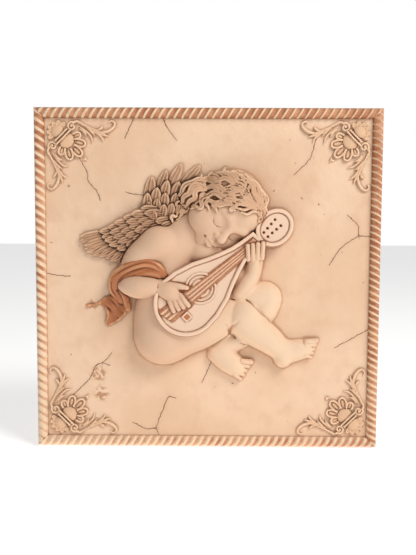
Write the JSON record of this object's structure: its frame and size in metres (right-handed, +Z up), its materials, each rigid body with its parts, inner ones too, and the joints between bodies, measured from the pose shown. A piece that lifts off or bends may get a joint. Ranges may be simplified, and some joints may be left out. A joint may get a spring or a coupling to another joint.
{
  "type": "cherub wall plaque",
  "caption": "Square cast wall plaque with a twisted rope border, scrolled corner ornaments and a high relief of a winged child resting on a lute.",
  "frame": {"origin": "centre of the flat back, in the plane that lies against the wall", "axes": "+X to the viewer's right across the plaque, +Z up, -Y out of the front, +Y into the wall"},
  "size_m": [0.254, 0.036, 0.2504],
  "materials": {
    "casting": "matt, painted peach cream with a brown antique wash in the hollows"
  },
  "bodies": {
    "root": {"plaque": "casting"}
  },
  "joints": []
}
